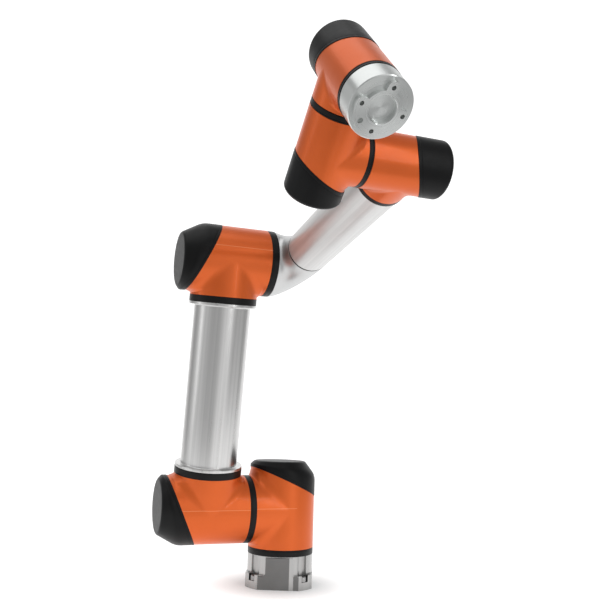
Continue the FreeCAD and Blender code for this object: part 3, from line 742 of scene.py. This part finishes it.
# floor that sweeps up behind the arm
def sweep():
    prof = []
    back, rad, top = 3.2, 1.6, 6.0
    prof.append((-0.55, 0.0))
    prof.append((back - rad, 0.0))
    for i in range(1, 17):
        a = 0.5 * math.pi * i / 16
        prof.append((back - rad + rad * math.sin(a), rad - rad * math.cos(a)))
    prof.append((back, top))
    verts, faces = [], []
    for x in (-1.0, 1.0):
        for y, z in prof:
            verts.append((x * (0.75 + 0.62 * (y + 0.55)), y, z))
    n = len(prof)
    for i in range(n - 1):
        faces.append((i, i + 1, n + i + 1, n + i))
    me = bpy.data.meshes.new("floor")
    me.from_pydata(verts, [], faces)
    for p in me.polygons:
        p.use_smooth = True
    ob = bpy.data.objects.new("floor", me)
    bpy.context.scene.collection.objects.link(ob)
    ob.location = (0, 0, -0.0002)
    ob.rotation_euler = (0, 0, math.atan2(fwd[1], fwd[0]) - math.pi / 2)
    mt = bpy.data.materials.new("floor_white")
    mt.use_nodes = True
    b = mt.node_tree.nodes["Principled BSDF"]
    v = mt.node_tree.nodes.new("ShaderNodeTexNoise")
    v.inputs["Scale"].default_value = 3.0
    r = mt.node_tree.nodes.new("ShaderNodeValToRGB")
    r.color_ramp.elements[0].color = (0.54, 0.54, 0.54, 1)
    r.color_ramp.elements[1].color = (0.56, 0.56, 0.56, 1)
    b.inputs["Emission Color"].default_value = (1, 1, 1, 1)
    nt = mt.node_tree
    tc = nt.nodes.new("ShaderNodeTexCoord")
    far = nt.nodes.new("ShaderNodeVectorMath")
    far.operation = "LENGTH"
    nt.links.new(tc.outputs["Object"], far.inputs[0])
    # painted contact shadow: the floor's glow is dimmed within about 6 to 12.5 cm of the base, so a grey ring shows
    # round the foot; further out it glows evenly white
    shadow_dimmed_glow = nt.nodes.new("ShaderNodeMapRange")
    for k, val in (("From Min", 0.06), ("From Max", 0.125), ("To Min", 0.36), ("To Max", 0.80)):
        shadow_dimmed_glow.inputs[k].default_value = val
    nt.links.new(far.outputs["Value"], shadow_dimmed_glow.inputs["Value"])
    nt.links.new(shadow_dimmed_glow.outputs["Result"], b.inputs["Emission Strength"])
    mt.node_tree.links.new(v.outputs["Fac"], r.inputs["Fac"])
    mt.node_tree.links.new(r.outputs["Color"], b.inputs["Base Color"])
    b.inputs["Roughness"].default_value = 0.9
    b.inputs["Specular IOR Level"].default_value = 0.1
    me.materials.append(mt)


sweep()

world = bpy.data.worlds.new("studio")
bpy.context.scene.world = world
world.use_nodes = True
wn = world.node_tree
for n in list(wn.nodes):
    wn.nodes.remove(n)
wo = wn.nodes.new("ShaderNodeOutputWorld")
bg = wn.nodes.new("ShaderNodeBackground")
wn.links.new(bg.outputs[0], wo.inputs[0])
tc = wn.nodes.new("ShaderNodeTexCoord")
sep = wn.nodes.new("ShaderNodeSeparateXYZ")
wn.links.new(tc.outputs["Generated"], sep.inputs[0])
at2 = wn.nodes.new("ShaderNodeMath")
at2.operation = "ARCTAN2"
wn.links.new(sep.outputs["X"], at2.inputs[0])
neg = wn.nodes.new("ShaderNodeMath")
neg.operation = "MULTIPLY"
neg.inputs[1].default_value = -1.0
wn.links.new(sep.outputs["Y"], neg.inputs[0])
wn.links.new(neg.outputs[0], at2.inputs[1])
mr = wn.nodes.new("ShaderNodeMapRange")
mr.inputs["From Min"].default_value = -math.pi
mr.inputs["From Max"].default_value = math.pi
wn.links.new(at2.outputs[0], mr.inputs["Value"])
# azimuth measured from straight behind the viewer, -180..180 degrees
AZ = [(-180, 0.80), (-158, 0.95), (-121, 0.46), (-100, 0.60), (-84, 0.82), (-62, 0.80), (-38, 0.62), (-14, 0.50), (0, 0.56), (12, 0.74),
      (30, 0.98), (46, 1.08), (58, 0.72), (74, 0.40), (98, 0.66), (121, 0.48), (158, 0.75), (180, 0.80)]
ra = ramp(wn, mr.outputs["Result"], [((a + 180) / 360, v) for a, v in AZ])
mz = wn.nodes.new("ShaderNodeMapRange")
mz.inputs["From Min"].default_value = -1.0
mz.inputs["From Max"].default_value = 1.0
wn.links.new(sep.outputs["Z"], mz.inputs["Value"])
rz = ramp(wn, mz.outputs["Result"], [(0.0, 1.0), (0.42, 1.0), (0.55, 1.0), (0.72, 1.0), (0.88, 0.85), (1.0, 0.7)])
mul = wn.nodes.new("ShaderNodeMix")
mul.data_type = "RGBA"
mul.blend_type = "MULTIPLY"
mul.inputs["Factor"].default_value = 1.0
wn.links.new(ra, mul.inputs["A"])
wn.links.new(rz, mul.inputs["B"])
wn.links.new(mul.outputs["Result"], bg.inputs["Color"])
bg.inputs["Strength"].default_value = 0.80


def area(name, loc, target, size, energy, color=(1, 1, 1)):
    d = bpy.data.lights.new(name, "AREA")
    d.shape = "RECTANGLE"
    d.size, d.size_y = size
    d.energy = energy
    d.color = color
    o = bpy.data.objects.new(name, d)
    bpy.context.scene.collection.objects.link(o)
    o.location = loc
    o.rotation_euler = (Vector(target) - Vector(loc)).to_track_quat("-Z", "Y").to_euler()
    return o


area("top_box", (-0.4, -0.5, 2.4), (0, 0, 0.3), (2.2, 1.8), 12)
area("left_strip", (-1.9, -0.5, 0.8), (0, -0.1, 0.4), (0.30, 1.6), 1.8)
area("right_strip", (1.35, -1.5, 0.9), (0, -0.1, 0.4), (0.16, 1.6), 4)
